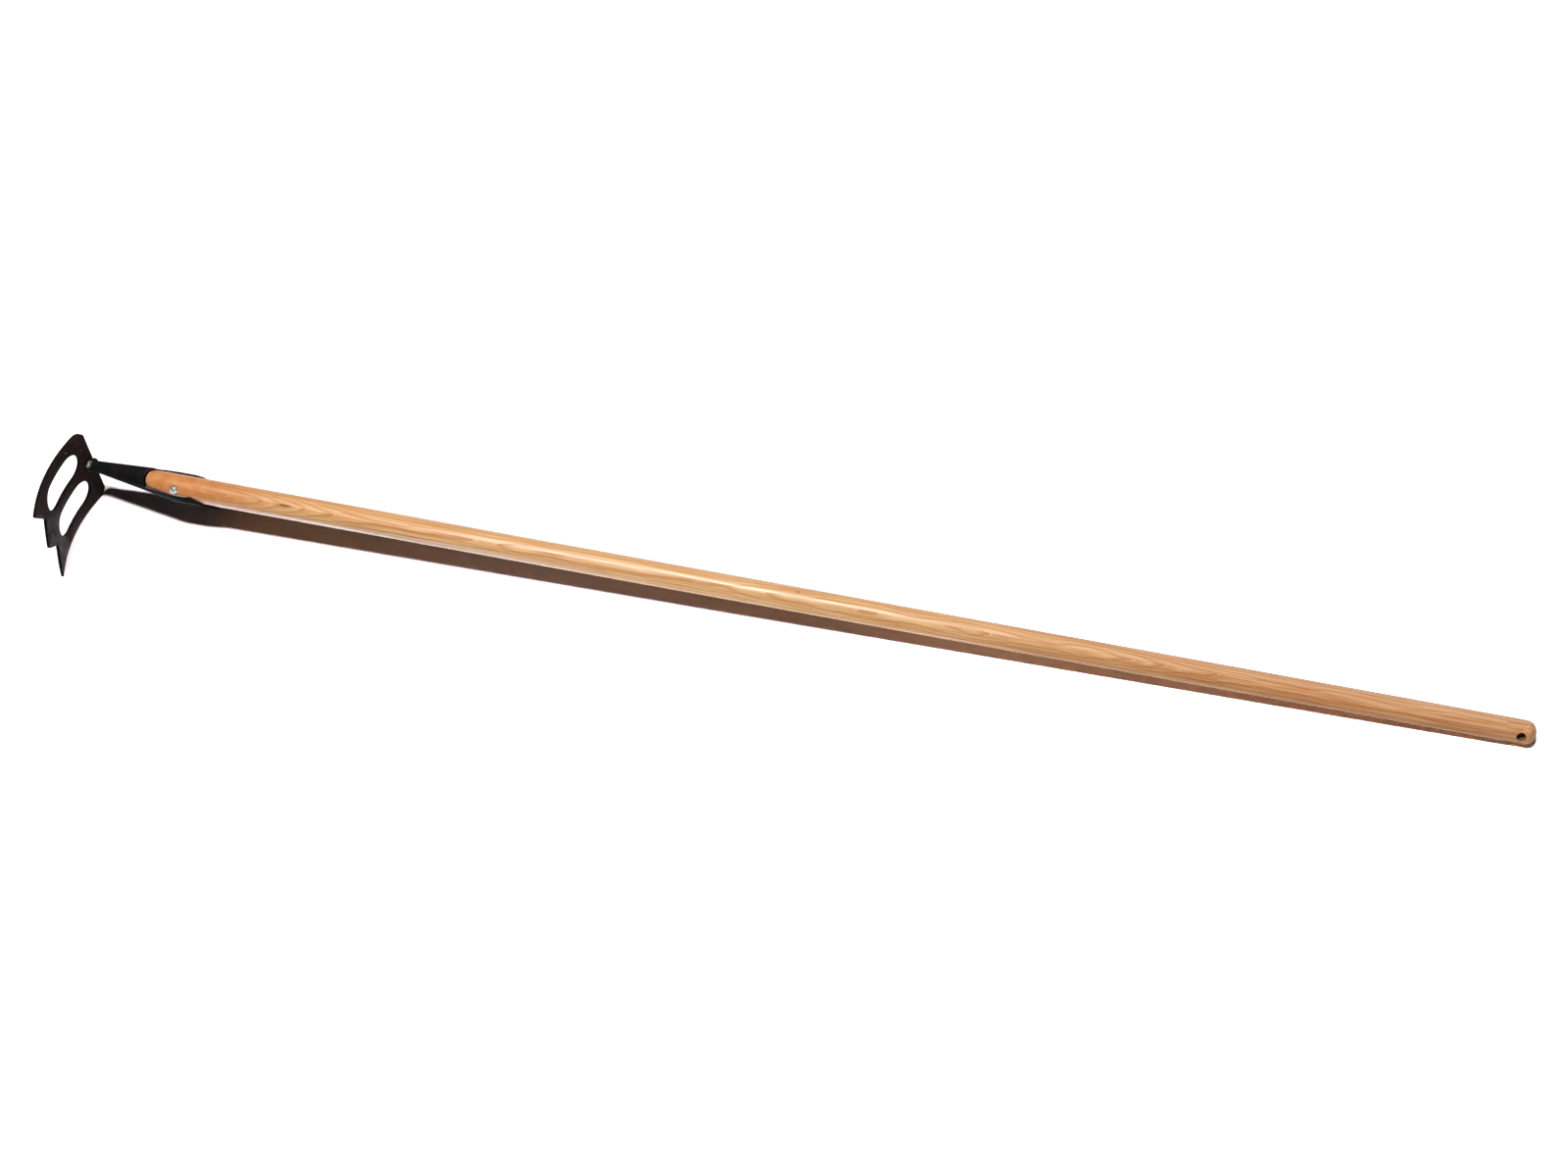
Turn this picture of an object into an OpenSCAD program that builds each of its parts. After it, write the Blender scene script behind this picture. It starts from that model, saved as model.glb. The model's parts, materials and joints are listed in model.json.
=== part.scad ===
// Fork hoe: a curved three-pointed blade with two slots, a tapered open socket and a long ash handle.
// It is modelled in the tool's own frame, with the handle along X and the points towards -Y.
// The whole tool is then laid on its side on the ground, on one side edge of the blade and the butt.

/* [Blade] */
// Width of the blade between its straight side edges
blade_w = 118; // [108:1:140]
// Height of the blade along its chord, from the top edge to the points
blade_h = 120; // [112:1:135]
// Thickness of the blade's plate
plate_t = 3; // [2.4:0.2:4]
// Bend radius of the face on the handle's side
bow_r = 170; // [140:5:260]
// Radius of the two top corners
corner_r = 12; // [6:1:16]
// Angle between the handle and the blade's chord
set_angle = 92.5; // [85:0.5:98]
// Depth of the two notches between the three points
notch_depth = 20; // [10:1:22]
// Distance from the centre line to the root of each notch
notch_z = 25.5; // [22:0.5:30]
// Width of the blunt end of each point
tip_w = 1.6; // [0.6:0.1:3]

/* [Slots] */
// Width of each slot
slot_w = 35; // [24:1:38]
// Length of each slot from end to end
slot_l = 70; // [50:1:72]
// Distance from the centre line to the middle of each slot
slot_z = 25; // [23:0.5:28]
// Height of the steel left above the slots
top_bar = 15.5; // [13:0.5:20]

/* [Socket] */
// Diameter of the neck where it meets the blade
neck_d = 10.6; // [9:0.2:13]
// Height of the neck's centre above the handle's axis at the blade
neck_rise = 7.9; // [5:0.1:8]
// Distance of the handle's axis below the top edge of the blade
axis_drop = 13.3; // [13:0.1:20]
// Wall thickness of the rolled socket
wall = 2.5; // [1.8:0.1:3]
// Distance along the handle at which the back of the cone reaches the size of the socket
back_x = 85; // [80:1:92]
// Distance along the handle at which the belly of the cone reaches the size of the socket
belly_x = 108; // [102:1:114]
// Distance from the blade to the round end of the window
window_x = 70.9; // [66:0.1:74]
// Half of the angle that the window opens round the handle
window_half = 69; // [55:1:74]
// Radius of the round end of the window
window_r = 17; // [15:0.5:19]
// Distance along the handle at which the wings start to fall away
wing_x = 118; // [116:1:126]
// Radius of the curve in which the wings fall away
wing_r = 46; // [40:1:80]

/* [Handle] */
// Length of the ash handle
wood_l = 1531; // [1200:1:1600]
// Diameter of the handle at the socket
wood_d = 28.5; // [26:0.1:30]
// Diameter of the handle at the butt
butt_d = 26.5; // [24:0.1:30]
// Distance from the blade to the nose of the handle
nose_x = 71.3; // [71.2:0.1:76]
// Bevel round the nose of the handle
nose_bevel = 3.4; // [1:0.2:4]
// Radius that rounds the butt
butt_round = 11; // [3:0.5:12]
// Diameter of the hang hole
hang_d = 9.5; // [5:0.5:10]
// Distance from the hang hole to the end of the butt
hang_back = 17; // [14:1:40]
// Turn of the hang hole from the direction of the points
hang_turn = 30; // [0:1:60]

/* [Rivet] */
// Distance along the handle of the rivet
rivet_x = 108; // [98:1:112]
// Diameter of the rivet's shank
rivet_d = 4; // [3:0.1:5]
// Diameter of the rivet's head
head_d = 9.2; // [7.6:0.1:9.3]
// Height of the rivet's head over the wood
head_h = 3; // [2:0.1:3.4]
// Height of the closed end over the socket
tail_h = 2; // [1.4:0.1:3]
// Height of the straight edge round both ends of the rivet
edge_h = 0.4; // [0.2:0.1:0.8]
// Turn of the rivet from the direction of the points
rivet_turn = 40; // [35:1:60]

/* [Fits] */
// Clearance between the wood and the socket
wood_clear = 0.1; // [0.05:0.05:0.25]
// Clearance round the rivet's shank
rivet_clear = 0.05; // [0.02:0.01:0.15]
// Gap between the nose of the handle and the bottom of the bore
nose_gap = 0.8; // [0.2:0.1:2]

/* [Weld] */
// Leg of the weld bead along the face of the blade
weld_leg = 4; // [2:0.2:5]
// Height of the weld bead up the neck
weld_h = 6; // [4:0.2:8]

/* [Hidden] */
$fn = 96;
far = 400;
bow_fn = 720;

// Blade: the local frame has its origin at mid-chord on the face next to the handle,
// X towards the handle, Y up to the top edge and Z along the width.
lean = set_angle - 90;
half_w = blade_w / 2;
half_h = blade_h / 2;
function bow(u, grow = 0) = bow_r - sqrt(pow(bow_r + grow, 2) - u * u);
axis_u = half_h - axis_drop;
mid_x = -bow(axis_u) * cos(lean) - axis_u * sin(lean);
mid_y = bow(axis_u) * sin(lean) - axis_u * cos(lean);

// Socket: a leaning cone, whose back and belly are straight lines, inside a cylinder round the wood
grip_r = wood_d / 2 + wood_clear;
socket_r = grip_r + wall;
neck_r = neck_d / 2;
function back(x) = neck_rise + neck_r + (socket_r - neck_rise - neck_r) * x / back_x;
function belly(x) = neck_rise - neck_r - (socket_r + neck_rise - neck_r) * x / belly_x;
function centre_y(x) = (back(x) + belly(x)) / 2;
function outer_r(x) = (back(x) - belly(x)) / 2;
neck_start = -4;

// Handle
bore_x = nose_x - nose_gap;
butt_x = nose_x + wood_l;
hang_x = butt_x - hang_back;
butt_r = butt_d / 2;

// Lie of the tool: the side edge of the blade and the butt touch the ground.
edge_u = half_h - corner_r;
edge_x = mid_x + edge_u * sin(lean) + bow(edge_u) * cos(lean);
rake = atan((half_w - butt_r) / (butt_x - butt_round - edge_x));
rest_z = edge_x * sin(rake) + half_w * cos(rake);

// Box of the tool on the ground
low_x = (mid_x + bow_r * cos(lean) - bow_r - plate_t) * cos(rake) - half_w * sin(rake);
high_x = (butt_x - butt_round) * cos(rake) + (butt_r - butt_round) * sin(rake) + butt_round;
low_y = mid_y - half_h * cos(lean) - bow(half_h) * sin(lean);
high_y = max(socket_r, mid_y + half_h * cos(lean) - bow(half_h, plate_t) * sin(lean));

// The finished tool lies on its side with the window of the socket upwards.
module lie() {
    translate([-(low_x + high_x) / 2, -(low_y + high_y) / 2, rest_z])
        rotate([0, rake, 0])
            children();
}

// Places a child from the blade's local frame into the tool's frame.
module on_blade() {
    translate([mid_x, mid_y, 0])
        rotate([0, 0, -lean])
            children();
}

// Everything on the handle's side of the blade's hollow face
module hollow_side() {
    on_blade()
        translate([bow_r, 0, 0])
            cylinder(r = bow_r, h = far, center = true, $fn = bow_fn);
}

// Outline of the blade: straight sides, round top corners and three points with two notches
module blade_outline() {
    polygon([
        [edge_u, -half_w],
        [edge_u, half_w],
        [tip_w - half_h, half_w],
        [-half_h, half_w - tip_w],
        [notch_depth - half_h, notch_z],
        [-half_h, tip_w / 2],
        [-half_h, -tip_w / 2],
        [notch_depth - half_h, -notch_z],
        [-half_h, tip_w - half_w],
        [tip_w - half_h, -half_w]
    ]);
    translate([edge_u - corner_r, corner_r - half_w])
        square([2 * corner_r, blade_w - 2 * corner_r]);
    for (side = [-1, 1])
        translate([edge_u, side * (half_w - corner_r)])
            circle(r = corner_r);
}

// One slot, with two half-round ends
module slot() {
    slot_r = slot_w / 2;
    slot_top = half_h - top_bar;
    slot_low = slot_top - slot_l;
    translate([slot_low + slot_r, -slot_r])
        square([slot_l - slot_w, slot_w]);
    for (u = [slot_low + slot_r, slot_top - slot_r])
        translate([u, 0])
            circle(r = slot_r);
}

// A flat pattern carried along the blade's normal through the curved plate
module through_blade() {
    translate([-bow_r / 2, 0, 0])
        rotate([90, 0, 90])
            linear_extrude(height = bow_r)
                children();
}

module blade() {
    color([0.2, 0.16, 0.16])
        lie()
            on_blade()
                intersection() {
                    through_blade()
                        difference() {
                            blade_outline();
                            for (side = [-1, 1])
                                translate([0, side * slot_z])
                                    slot();
                        }
                    translate([bow_r, 0, 0])
                        difference() {
                            cylinder(r = bow_r + plate_t, h = far, center = true, $fn = bow_fn);
                            cylinder(r = bow_r, h = 2 * far, center = true, $fn = bow_fn);
                        }
                }
}

// Leaning cone from the neck on, made thinner by inset and running between two places on its own axis
module cone(inset, from, to) {
    rise = centre_y(back_x) - centre_y(0);
    slope = (outer_r(back_x) - outer_r(0)) / norm([back_x, rise]);
    translate([0, centre_y(0), 0])
        rotate([0, 0, atan(rise / back_x)])
            rotate([0, 90, 0])
                translate([0, 0, from])
                    cylinder(
                        r1 = neck_r - inset + slope * from,
                        r2 = neck_r - inset + slope * to,
                        h = to - from
                    );
}

// Full round form of the socket, or of the wood in it, between two places on the handle's axis
module socket_form(inset, from, to) {
    spare = 6;
    intersection() {
        translate([from, 0, 0])
            rotate([0, 90, 0])
                cylinder(r = socket_r - inset, h = to - from);
        cone(inset, from - spare, to + spare);
    }
}

// Window: a wedge that opens upwards, with a round end towards the blade
module window() {
    reach = 2 * socket_r;
    intersection() {
        rotate([90, 0, 90])
            linear_extrude(height = far)
                polygon([
                    [0, 0],
                    [reach * sin(window_half), reach * cos(window_half)],
                    [reach, far],
                    [-reach, far],
                    [-reach * sin(window_half), reach * cos(window_half)]
                ]);
        union() {
            translate([window_x + window_r, 0, 0])
                cylinder(r = window_r, h = far);
            translate([window_x + window_r, -reach, 0])
                cube([far, 2 * reach, far]);
        }
    }
}

// Wings that fall away in one long curve to the end of the socket underneath
module wing_limit() {
    wing_z = socket_r * cos(window_half);
    translate([neck_start, -far / 2, -far / 2])
        cube([wing_x - neck_start, far, far]);
    translate([wing_x, 0, wing_z - wing_r])
        rotate([90, 0, 0])
            cylinder(r = wing_r, h = far, center = true, $fn = 360);
}

// Through hole square to the handle, turned from the points towards the window
module cross_hole(x, turn, d) {
    translate([x, 0, 0])
        rotate([90 - turn, 0, 0])
            cylinder(d = d, h = 3 * socket_r, center = true);
}

module socket_shell() {
    mouth_x = wing_x + wing_r;
    intersection() {
        difference() {
            socket_form(0, neck_start, mouth_x);
            socket_form(wall, bore_x, mouth_x + far);
            window();
        }
        wing_limit();
    }
}

module socket() {
    color([0.11, 0.1, 0.1])
        lie()
            difference() {
                intersection() {
                    socket_shell();
                    hollow_side();
                }
                cross_hole(rivet_x, rivet_turn, rivet_d + 2 * rivet_clear);
            }
}

// Bead round the neck, flush with the blade's top edge
module weld() {
    bead_x = bow(axis_u + neck_rise) - bow(axis_u);
    root_r = neck_r + weld_leg;
    steep = weld_leg / weld_h;
    color([0.3, 0.28, 0.27])
        lie()
            difference() {
                intersection() {
                    translate([bead_x - weld_h, neck_rise, 0])
                        rotate([0, 90, 0])
                            cylinder(
                                r1 = root_r + steep * weld_h,
                                r2 = root_r - steep * weld_h,
                                h = 2 * weld_h
                            );
                    hollow_side();
                    on_blade()
                        translate([-far / 2, half_h - far, -far / 2])
                            cube(far);
                }
                cone(0, 2 * neck_start, back_x);
            }
}

// Wood inside the socket, with a bevelled nose
module wood_tip() {
    nose_r = outer_r(nose_x) - wall - wood_clear;
    deep = wing_x - nose_x;
    intersection() {
        socket_form(wall + wood_clear, nose_x, wing_x);
        translate([nose_x, centre_y(nose_x), 0])
            rotate([0, 90, 0])
                cylinder(r1 = nose_r - nose_bevel, r2 = nose_r - nose_bevel + deep, h = deep);
    }
}

// Long gentle taper from the socket to the rounded butt
module wood_shaft() {
    round_at = butt_x - butt_round - wing_x;
    translate([wing_x, 0, 0])
        rotate([0, 90, 0])
            rotate_extrude()
                intersection() {
                    union() {
                        polygon([
                            [0, 0],
                            [wood_d / 2, 0],
                            [butt_r, round_at],
                            [0, round_at]
                        ]);
                        translate([butt_r - butt_round, round_at])
                            circle(r = butt_round);
                        translate([0, round_at])
                            square([butt_r - butt_round, butt_round]);
                    }
                    square([wood_d, wood_l]);
                }
}

module handle_wood() {
    wood_tip();
    wood_shaft();
}

module handle() {
    color([0.86, 0.65, 0.44])
        lie()
            difference() {
                handle_wood();
                cross_hole(rivet_x, rivet_turn, rivet_d + 2 * rivet_clear);
                cross_hole(hang_x, hang_turn, hang_d);
            }
}

// Domed end of the rivet, with a straight edge, that stands on a surface at distance base from the axis
module dome(base, width, height) {
    rim_r = width / 2;
    cap_h = height - edge_h;
    dome_r = (rim_r * rim_r + cap_h * cap_h) / (2 * cap_h);
    skirt = base - sqrt(base * base - rim_r * rim_r) + wall / 2;
    intersection() {
        translate([0, 0, base + height - dome_r])
            sphere(r = dome_r);
        translate([0, 0, base - skirt])
            cylinder(r = rim_r, h = skirt + 2 * height);
    }
}

module rivet() {
    color([0.75, 0.74, 0.72])
        lie()
            union() {
                difference() {
                    translate([rivet_x, 0, 0])
                        rotate([90 - rivet_turn, 0, 0])
                            dome(wood_d / 2, head_d, head_h);
                    socket_form(wall + wood_clear, rivet_x - head_d, rivet_x + head_d);
                }
                difference() {
                    translate([rivet_x, 0, 0])
                        rotate([270 - rivet_turn, 0, 0])
                            dome(socket_r, head_d, tail_h);
                    socket_form(0, rivet_x - head_d, rivet_x + head_d);
                }
                translate([rivet_x, 0, 0])
                    rotate([90 - rivet_turn, 0, 0])
                        translate([0, 0, -socket_r])
                            cylinder(d = rivet_d, h = socket_r + wood_d / 2);
            }
}

blade();
socket();
weld();
handle();
rivet();
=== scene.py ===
# %% [markdown]
# # A fork hoe, dressed for its portrait
# This lesson takes the solid model of a long-handled fork hoe and gives it the finish of the real tool: a
# lacquered ash handle, a blade and a socket of black steel, a dark weld bead and one bright rivet.
# The solids are loaded first, and they decide where everything is. Each visible piece is then modelled or
# finished in its place, so nothing has to be fitted by eye. Blender works in metres, so a size that is
# written in millimetres is multiplied by `MM`.

# %% The frame
import json
import math

import bmesh
import bpy
from mathutils import Matrix, Vector

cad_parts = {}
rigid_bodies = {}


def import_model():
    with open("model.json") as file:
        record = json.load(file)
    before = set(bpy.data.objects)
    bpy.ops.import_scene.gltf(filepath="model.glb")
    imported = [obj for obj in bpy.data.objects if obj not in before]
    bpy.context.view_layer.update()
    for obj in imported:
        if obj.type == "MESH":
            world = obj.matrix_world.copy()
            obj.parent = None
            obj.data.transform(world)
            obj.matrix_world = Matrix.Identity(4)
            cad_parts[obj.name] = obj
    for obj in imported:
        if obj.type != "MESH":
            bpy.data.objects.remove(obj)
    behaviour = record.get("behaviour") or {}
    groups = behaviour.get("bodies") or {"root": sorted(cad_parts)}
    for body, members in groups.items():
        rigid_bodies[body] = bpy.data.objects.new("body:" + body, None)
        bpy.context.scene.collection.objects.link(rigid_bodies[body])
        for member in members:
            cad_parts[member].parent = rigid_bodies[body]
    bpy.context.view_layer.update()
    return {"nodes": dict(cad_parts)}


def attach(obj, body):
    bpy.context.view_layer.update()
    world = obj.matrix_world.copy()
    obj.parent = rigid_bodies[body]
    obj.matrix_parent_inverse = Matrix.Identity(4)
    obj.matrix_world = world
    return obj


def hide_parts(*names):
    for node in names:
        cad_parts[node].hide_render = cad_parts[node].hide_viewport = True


bpy.ops.object.select_all(action="SELECT")
bpy.ops.object.delete()
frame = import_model()
MM = 0.001


def in_mm(values):
    """Metres as rounded millimetres, for a print."""
    return [round(value / MM, 1) for value in values]


print("solids:", sorted(frame["nodes"]))

# %% [markdown]
# The tool is drawn with its handle along X, and then laid on its side: the side edge of the blade and
# the butt of the handle touch the ground, so the whole tool leans a little. A matrix holds that lean, and a
# second one leads from the blade's own flat pattern to the tool. With them each piece can be
# modelled upright and square, and put in its place at the end, as a smith works on the bench.

# %% The places that the pieces are modelled in
RAKE = math.radians(1.64725)
AXIS_START = Vector((-794.142, 44.970, 58.988)) * MM
TOOL = Matrix.Translation(AXIS_START) @ Matrix.Rotation(RAKE, 4, "Y")
LEAN = math.radians(2.5)
FACE_MIDDLE = Vector((-8.571, -46.370, 0)) * MM
BLADE = TOOL @ Matrix.Translation(FACE_MIDDLE) @ Matrix.Rotation(-LEAN, 4, "Z")
print("the handle's axis starts at", in_mm(TOOL.translation), "mm")

# %% [markdown]
# The camera stands where the photograph was taken: high, in front of the tool and a little to the right of
# its middle, with a normal lens. It comes first, because every later choice is judged through it. It looks
# at a point near the middle of the handle, and `to_track_quat` turns that direction into a rotation.

# %% The camera
CAMERA_AT = Vector((236.5, -1165.3, 2009.5)) * MM
CAMERA_AIM = Vector((-7.7, 78.2, 1.0)) * MM
LENS_MM = 49.22
SENSOR_MM = 36
NEAREST, FURTHEST = 0.05, 50
line_of_sight = CAMERA_AIM - CAMERA_AT
bpy.ops.object.camera_add(location=CAMERA_AT)
camera = bpy.context.object
camera.name = "camera"
camera.rotation_euler = line_of_sight.to_track_quat("-Z", "Y").to_euler()
camera.data.lens = LENS_MM
camera.data.sensor_width = SENSOR_MM
camera.data.clip_start, camera.data.clip_end = NEAREST, FURTHEST
bpy.context.scene.camera = camera
print("camera to aim:", round(line_of_sight.length, 3), "m")

# %% [markdown]
# Shader maths is easier to read as sums than as a web of nodes. `Wire` wraps one socket, and the
# operators add Math nodes. Every other node comes from `node`, which sets the node's own settings first
# and then its sockets. `vector` works on places, and `mix` blends two colours, because a Math node would
# turn them grey.


# %% A wire that can be calculated with
class Wire:
    """A socket of a node tree that can stand in a sum."""

    def __init__(self, tree, socket=None):
        self.tree = tree
        self.socket = socket

    def node(self, kind, sockets, out=0, stops=(), **settings):
        """Adds a node: its settings, then a ramp's grey stops, then values or wires for its sockets."""
        made = self.tree.nodes.new("ShaderNode" + kind)
        for name, value in settings.items():
            setattr(made, name, value)
        if stops:
            elements = made.color_ramp.elements
            while len(elements) < len(stops):
                elements.new(0.5)
            for element, (place, grey) in zip(elements, stops):
                element.position = place
                element.color = (grey, grey, grey, 1)
        for name, value in sockets.items():
            if isinstance(value, Wire):
                self.tree.links.new(value.socket, made.inputs[name])
            else:
                made.inputs[name].default_value = value
        return Wire(self.tree, made.outputs[out] if made.outputs else None)

    def also(self, out):
        """Another output of the node that this wire leaves."""
        return Wire(self.tree, self.socket.node.outputs[out])

    def math(self, operation, *others):
        return self.node("Math", dict(enumerate((self, *others))), operation=operation)

    def vector(self, operation, *others, out="Vector"):
        return self.node("VectorMath", dict(enumerate((self, *others))), out=out, operation=operation)

    def __add__(self, other):
        return self.math("ADD", other)

    def __sub__(self, other):
        return self.math("SUBTRACT", other)

    def __rsub__(self, other):
        return self.node("Math", {0: other, 1: self}, operation="SUBTRACT")

    def __mul__(self, other):
        return self.math("MULTIPLY", other)

    def __truediv__(self, other):
        return self.math("DIVIDE", other)

    def __pow__(self, other):
        return self.math("POWER", other)

    __radd__ = __add__
    __rmul__ = __mul__

    def between(self, low, high):
        """0 below low and 1 above high, with a soft step between. It falls where low is above high."""
        sockets = {"Value": self, "From Min": low, "From Max": high}
        return self.node("MapRange", sockets, interpolation_type="SMOOTHSTEP")

    def mix(self, first, second):
        """The colour first where this wire is 0, and second where it is 1."""
        first, second = (c if isinstance(c, Wire) else (*c, 1) for c in (first, second))
        return self.node("Mix", {0: self, 6: first, 7: second}, out=2, data_type="RGBA")


print("a wire can add, multiply, step and mix")

# %% [markdown]
# Every finish of the tool starts from the same shader. `paint` makes a material, and sets what is the same
# all over it on the shader's own sockets. It hands back a wire with the place of each point, which is where
# every pattern starts. `connect` plugs in what changes over the surface.


# %% A new finish
def paint(name, **constants):
    """A material, its shader, and a wire with the place of each point."""
    material = bpy.data.materials.new(name)
    material.use_nodes = True
    shader = material.node_tree.nodes["Principled BSDF"]
    for socket, value in constants.items():
        shader.inputs[socket.replace("_", " ")].default_value = value
    spot = Wire(material.node_tree).node("TexCoord", {}, out="Object")
    return material, shader, spot


def connect(shader, **wires):
    """Plugs each wire into the shader's socket of that name."""
    for socket, wire in wires.items():
        wire.tree.links.new(wire.socket, shader.inputs[socket.replace("_", " ")])


print("each finish starts from one shader and the place of each point")

# %% [markdown]
# The tool lies on a plain floor, which is so wide that its edge stays out of the photograph's view. From low
# down it is a faint line on the white.

# %% The floor
FLOOR_HALF = 2.4
bpy.ops.mesh.primitive_plane_add(size=2 * FLOOR_HALF, location=(0, 0, 0))
floor = bpy.context.object
floor.name = "floor"
print("floor:", 2 * FLOOR_HALF, "m square")

# %% [markdown]
# The photograph has a white floor that is brighter than a picture can show, with a deep brown shadow. A
# very strong lamp would bleach the tool, so the light stays plain and the floor's paint does the work. The
# camera sees it white, the lacquer and the steel mirror it brighter still, and little light bounces from it
# into the shadow, which therefore stays deep. The shadow grows paler from the head to the butt, so the
# floor's colour is painted paler that way too, which paints the shade of the shadow. Behind the tool the
# mirrored white is painted dimmer.

# %% The white of the floor
FLOOR_PAPER = (0.16, 0.145, 0.135)
FLOOR_SEEN_HEAD = (1.36, 1.18, 1.18)
FLOOR_SEEN = (1.42, 1.32, 1.55)
FLOOR_SEEN_BUTT = (2.9, 2.7, 2.9)
FLOOR_MIRRORED_HEAD = (3.6, 4.0, 4.4)
FLOOR_MIRRORED = (3.5, 2.9, 2.2)
FLOOR_BEHIND = (1.6, 1.6, 1.7)
SEEN_LEAVES_HEAD = (-0.55, -0.25)
SEEN_NEARS_BUTT = (-0.02, 0.34)
MIRRORED_LEAVES_HEAD = (-0.50, -0.05)
MIRRORED_COMES_FORWARD = (0.045, 0.015)
floor_paint = bpy.data.materials.new("white floor")
floor_paint.use_nodes = True
floor_paint.node_tree.nodes.clear()
seen = Wire(floor_paint.node_tree).node("LightPath", {}, out="Is Camera Ray")
glossy = seen.also("Is Glossy Ray")
floor_x = seen.node("SeparateXYZ", {"Vector": seen.node("TexCoord", {}, out="Object")}, out="X")
floor_y = floor_x.also("Y")
# What the lacquer and the steel mirror is painted brighter than the floor: this paints the pale reflection along
# the handle's lower side.
mirrored = floor_x.between(*MIRRORED_LEAVES_HEAD).mix(FLOOR_MIRRORED_HEAD, FLOOR_MIRRORED)
mirrored = floor_y.between(*MIRRORED_COMES_FORWARD).mix(FLOOR_BEHIND, mirrored)
# The floor is painted paler towards the butt, which paints the shadow paler there.
white = floor_x.between(*SEEN_NEARS_BUTT).mix(FLOOR_SEEN, FLOOR_SEEN_BUTT)
white = floor_x.between(*SEEN_LEAVES_HEAD).mix(FLOOR_SEEN_HEAD, white)
paper = seen.node("BsdfDiffuse", {"Color": glossy.mix(seen.mix(FLOOR_PAPER, white), mirrored)})
paper.node("OutputMaterial", {"Surface": paper})
floor.data.materials.append(floor_paint)
print("white floor:", len(floor_paint.node_tree.nodes), "shader nodes")

# %% [markdown]
# One long narrow lamp hangs over the head of the tool, a little to the front and in line with the handle.
# Across the handle it is narrow and draws a clear shadow. Along the handle it is long, so it draws a long
# sheen on the lacquer and blurs the shadow of the blade away.

# %% The lamp
LAMP_AT = Vector((-0.60, -0.34, 4.0))
LAMP_SIZE = (1.1, 0.28)
LAMP_POWER = 200
bpy.ops.object.light_add(type="AREA", location=LAMP_AT)
lamp = bpy.context.object
lamp.name = "strip lamp"
lamp.data.shape = "RECTANGLE"
lamp.data.size, lamp.data.size_y = LAMP_SIZE
lamp.data.energy = LAMP_POWER
print("lamp:", LAMP_POWER, "W,", LAMP_AT.z, "m up")

# %% [markdown]
# The world is a very weak fill, so that the shadow stays deep, and only the camera sees it as white. The
# Standard view shows each colour about as it is written.

# %% The fill
FILL = (0.010, 0.0095, 0.009)
BACKDROP = (1, 1, 1)
world = bpy.context.scene.world or bpy.data.worlds.new("studio")
bpy.context.scene.world = world
world.use_nodes = True
world.node_tree.nodes.clear()
sky_seen = Wire(world.node_tree).node("LightPath", {}, out="Is Camera Ray")
sky = sky_seen.node("Background", {"Color": sky_seen.mix(FILL, BACKDROP)})
sky.node("OutputWorld", {"Surface": sky})
bpy.context.scene.view_settings.view_transform = "Standard"
print("fill:", FILL, "and white to the camera")

# %% [markdown]
# Ash is a wood with clear year rings. A band of coarse pores grows in spring and shows as a thin brown
# line, and the rest of the ring is pale. The handle is sawn along the trunk, a little out of line with its
# centre, so the rings meet its surface at a low angle and draw long nested arches. The material does the
# same: it measures the distance from a centre line outside the handle, and colours it in rings. Where that
# line comes closer along the handle the arches stand one in the other, and where it runs level they are
# long ovals. A keel along the crown of the rings sharpens the arches into flames.
#
# First come the directions. `tool_mm` is the place on the tool in millimetres, `along` runs down the handle
# from the head, `towards` points out through the crown of the rings, and `across` goes round the handle.

# %% The ash, and the directions in it
CROWN_RISE = math.radians(58)
ash, ash_shader, spot = paint(
    "lacquered ash", IOR=1.5, Specular_IOR_Level=0.25, Coat_Roughness=0.35, Coat_IOR=1.5
)
to_tool = {"Vector": spot, "Location": TOOL.translation, "Rotation": (0, RAKE, 0), "Scale": (MM, MM, MM)}
tool_mm = spot.node("Mapping", to_tool, vector_type="TEXTURE")
along = tool_mm.node("SeparateXYZ", {"Vector": tool_mm}, out="X")
side, up = along.also("Y"), along.also("Z")
towards = up * math.sin(CROWN_RISE) - side * math.cos(CROWN_RISE)
across = side * math.sin(CROWN_RISE) + up * math.cos(CROWN_RISE)


def drift(run, start, reach):
    """A slow wander along the handle, with waves about run long and as wide as reach."""
    slow = {"W": along / run + start, "Scale": 1.0, "Detail": 2.0}
    return (along.node("TexNoise", slow, noise_dimensions="1D") - 0.5) * reach


def streaks(scale, detail, roughness=0.5):
    """Noise that is drawn out along the handle. The scale has one number for each direction."""
    drawn_out = tool_mm.node("Mapping", {"Vector": tool_mm, "Scale": scale})
    waves = {"Vector": drawn_out, "Scale": 1.0, "Detail": detail, "Roughness": roughness}
    return tool_mm.node("TexNoise", waves)


print("ash: the crown of its rings faces", round(math.degrees(CROWN_RISE)), "degrees up")

# %% [markdown]
# Now the rings. `closer` counts how many rings the centre line has come nearer at each place along the
# handle: twice it comes nearer, near the head and near the butt, and in the middle it goes back a little.
# The distance from that line, less the keel, is divided by the width of a ring, and `year` is what is left
# over after the whole rings.

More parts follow.
